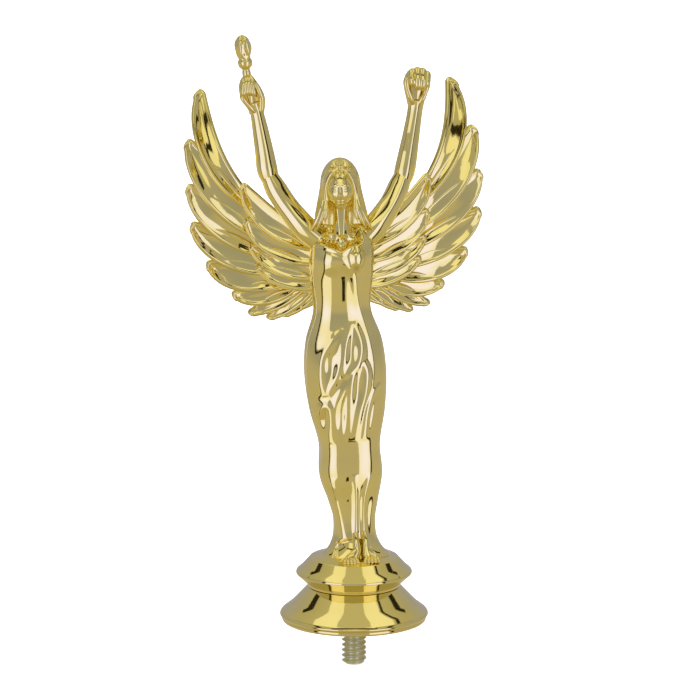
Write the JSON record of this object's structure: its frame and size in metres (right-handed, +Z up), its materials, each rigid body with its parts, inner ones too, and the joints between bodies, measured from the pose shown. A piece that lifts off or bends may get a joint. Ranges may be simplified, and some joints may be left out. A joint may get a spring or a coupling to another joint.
{
  "type": "figure trophy",
  "caption": "Winged victory figure with raised arms and a torch, standing on a round stepped base with a threaded stud below.",
  "frame": {"origin": "centre of the skirt's rim plane, on the stud's axis", "axes": "+Z up along the stud towards the figure, -Y the way the figure faces, +X the figure's own left"},
  "size_m": [0.0596, 0.0344, 0.1243],
  "materials": {
    "gold_plate": "bright gold metallised coating over moulded plastic",
    "zinc_plate": "yellow zinc plated steel, slightly dull"
  },
  "bodies": {
    "root": {"skirt": "gold_plate", "plinth": "gold_plate", "thread_stud": "zinc_plate", "stud_washer": "zinc_plate", "stud_nut": "zinc_plate", "figure_front": "gold_plate", "figure_back": "gold_plate", "right_arm": "gold_plate", "left_arm": "gold_plate", "torch": "gold_plate", "right_wing": "gold_plate", "left_wing": "gold_plate"}
  },
  "joints": []
}
